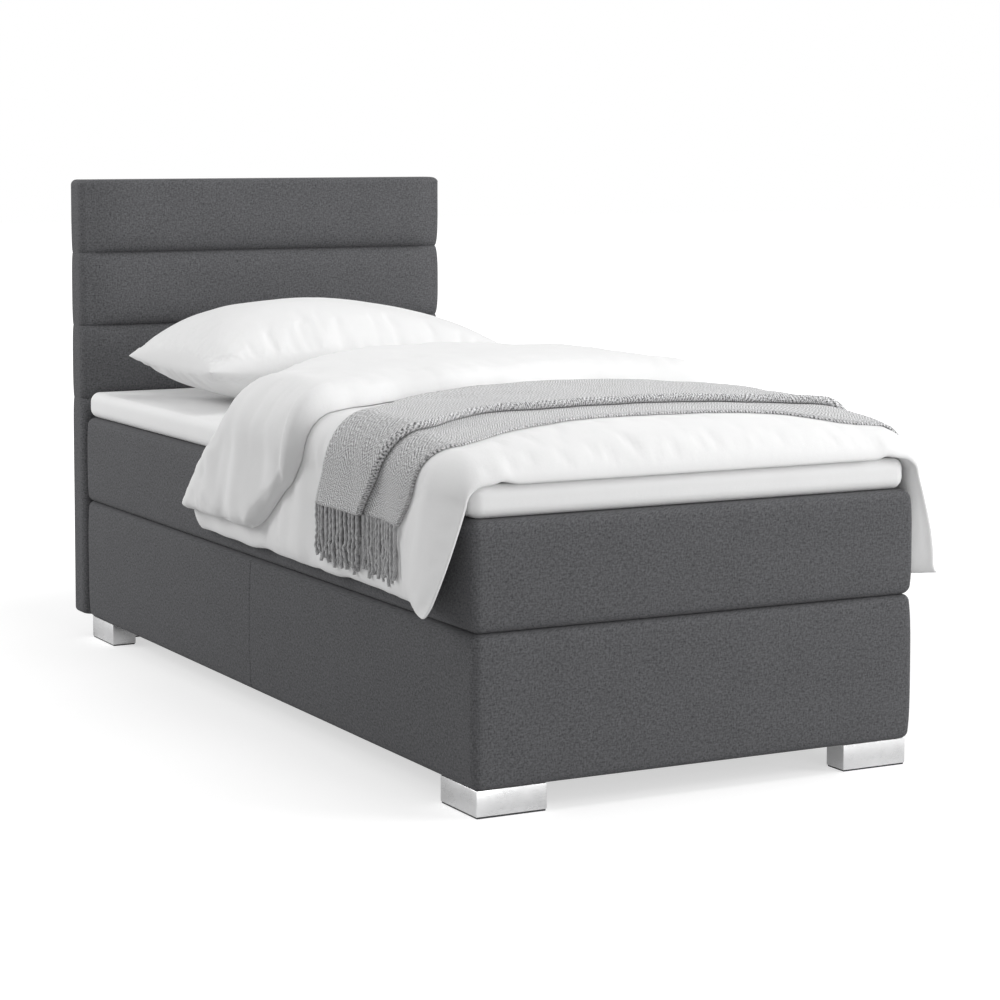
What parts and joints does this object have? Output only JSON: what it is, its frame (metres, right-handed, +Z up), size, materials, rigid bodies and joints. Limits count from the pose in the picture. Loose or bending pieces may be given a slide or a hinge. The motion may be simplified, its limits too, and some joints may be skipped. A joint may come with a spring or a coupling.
{
  "type": "box spring bed",
  "caption": "Box spring bed: upholstered base and mattress boxes on low corner feet, padded topper, channelled headboard, pillow, turned-down duvet and fringed throw.",
  "frame": {"origin": "on the floor, under the middle of the whole bed", "axes": "+Z up, +Y towards the headboard, +X to the right for someone who stands at the foot end and looks at the headboard"},
  "size_m": [1.0938, 2.0763, 1.0846],
  "materials": {
    "upholstery": "dark grey melange flat-woven upholstery cloth",
    "topper_cloth": "white knitted cotton cover",
    "linen": "white cotton bed linen",
    "throw_weave": "light grey herringbone weave with a fringe",
    "satin_metal": "satin silver",
    "glide": "matte dark grey",
    "bolt_steel": "zinc plated",
    "timber": "planed softwood, bare",
    "board": "bare panel board",
    "foam": "open-cell upholstery foam",
    "felt": "grey needle felt",
    "pocket_cloth": "white non-woven pocket cloth",
    "lining": "dark non-woven dust cloth"
  },
  "bodies": {
    "root": {"base_side_rail_left": "timber", "base_side_rail_right": "timber", "base_foot_rail": "timber", "base_head_rail": "timber", "base_ledger_left": "timber", "base_ledger_right": "timber", "base_centre_beam": "timber", "base_corner_block_front_left": "timber", "base_corner_block_front_right": "timber", "base_corner_block_rear_left": "timber", "base_corner_block_rear_right": "timber", "base_slat_1": "timber", "base_slat_2": "timber", "base_slat_3": "timber", "base_slat_4": "timber", "base_slat_5": "timber", "base_slat_6": "timber", "base_slat_7": "timber", "base_spring_core": "pocket_cloth", "base_felt": "felt", "base_top_foam": "foam", "base_side_padding": "foam", "base_cover": "upholstery", "base_dust_cover": "lining", "foot_front_left": "satin_metal", "foot_front_right": "satin_metal", "foot_rear_left": "satin_metal", "foot_rear_right": "satin_metal", "foot_glide_front_left": "glide", "foot_glide_front_right": "glide", "foot_glide_rear_left": "glide", "foot_glide_rear_right": "glide", "foot_bolt_front_left": "bolt_steel", "foot_bolt_front_right": "bolt_steel", "foot_bolt_rear_left": "bolt_steel", "foot_bolt_rear_right": "bolt_steel", "mattress_cover": "upholstery", "mattress_underside": "lining", "mattress_foam_border": "foam", "mattress_bottom_foam": "foam", "mattress_bottom_felt": "felt", "mattress_spring_core": "pocket_cloth", "mattress_top_felt": "felt", "mattress_top_foam": "foam", "topper_cover": "topper_cloth", "topper_core": "foam", "headboard_cover": "upholstery", "headboard_back_cloth": "lining", "headboard_board": "board", "headboard_foam_1": "foam", "headboard_foam_2": "foam", "headboard_foam_3": "foam", "headboard_foam_4": "foam", "headboard_bolt_left": "bolt_steel", "headboard_bolt_right": "bolt_steel", "duvet": "linen", "throw": "throw_weave", "pillow": "linen"}
  },
  "joints": []
}
